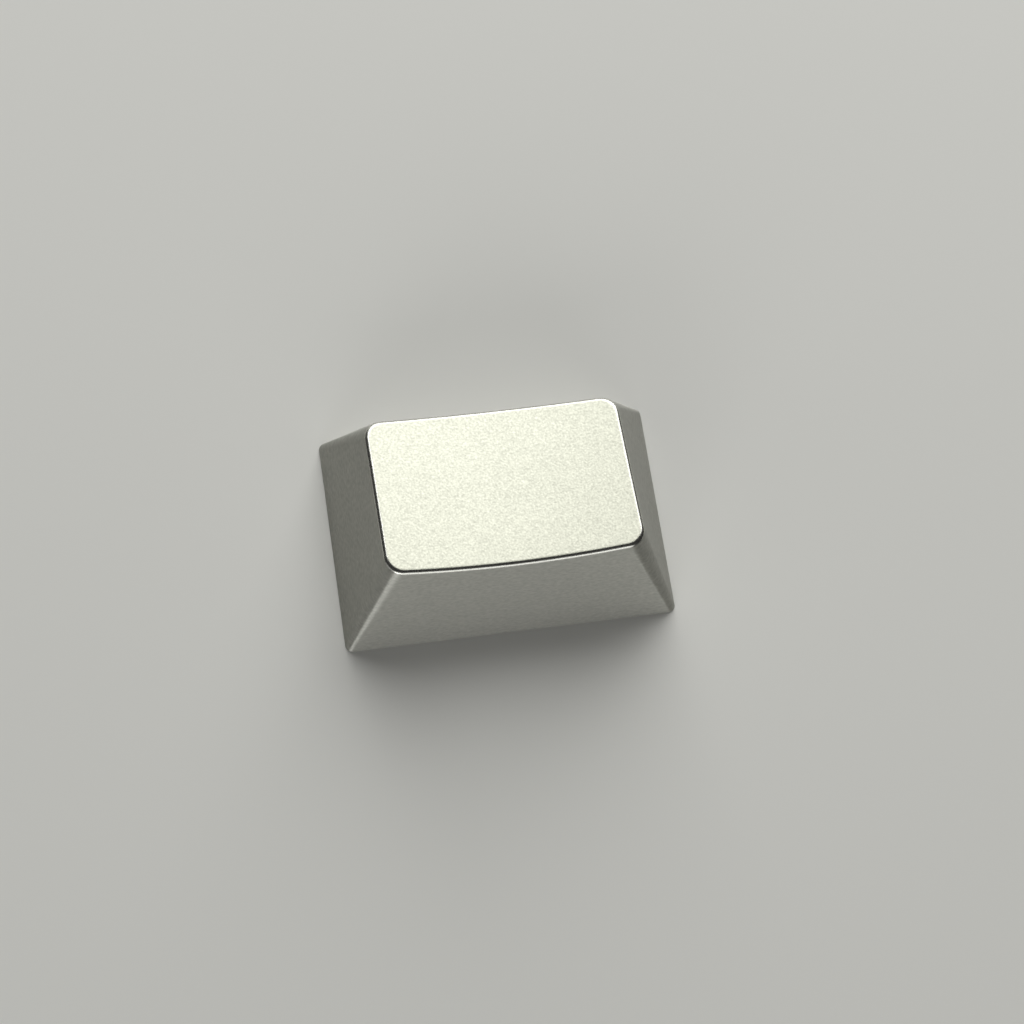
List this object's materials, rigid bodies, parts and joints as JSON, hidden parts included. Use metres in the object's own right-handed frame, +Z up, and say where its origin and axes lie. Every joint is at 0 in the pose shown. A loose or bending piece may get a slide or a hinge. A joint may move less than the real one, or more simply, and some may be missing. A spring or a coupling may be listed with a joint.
{
  "type": "metal keycap",
  "caption": "Sculpted hollow metal keycap with drafted walls, a tilted dished top and a post inside with a cross socket for a key switch stem.",
  "frame": {"origin": "on the axis of the post, in the plane of the bottom rim, at the middle of the base outline", "axes": "+X along the wide side, +Y towards the back of the keyboard, +Z up through the top"},
  "size_m": [0.0274, 0.0178, 0.0093],
  "materials": {
    "blasted_metal": "satin, bead blasted on top and finely brushed on the walls"
  },
  "bodies": {
    "root": {"keycap": "blasted_metal"}
  },
  "joints": []
}
